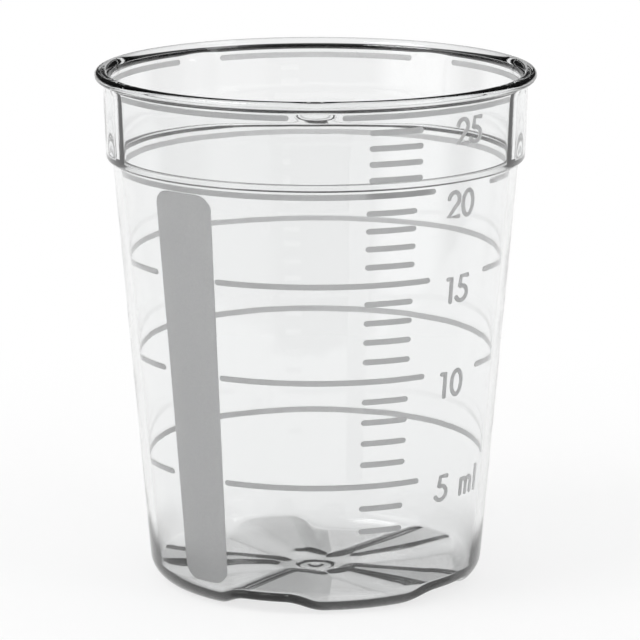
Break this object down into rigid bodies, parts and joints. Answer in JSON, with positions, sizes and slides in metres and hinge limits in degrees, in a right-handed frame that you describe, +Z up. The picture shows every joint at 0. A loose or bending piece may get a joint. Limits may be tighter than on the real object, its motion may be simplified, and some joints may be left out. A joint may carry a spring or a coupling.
{
  "type": "medicine cup",
  "caption": "Clear moulded medicine cup with a tapered wall, a stepped collar, a beaded rim and a channelled foot.",
  "frame": {"origin": "centre of the plane that the feet rest on, on the cup's axis", "axes": "+Z up along the cup's axis, -Y towards the side that shows the graduation"},
  "size_m": [0.0348, 0.0348, 0.041],
  "materials": {
    "clear_plastic": "clear moulded polypropylene, glossy inside and out"
  },
  "bodies": {
    "root": {"cup": "clear_plastic"}
  },
  "joints": []
}
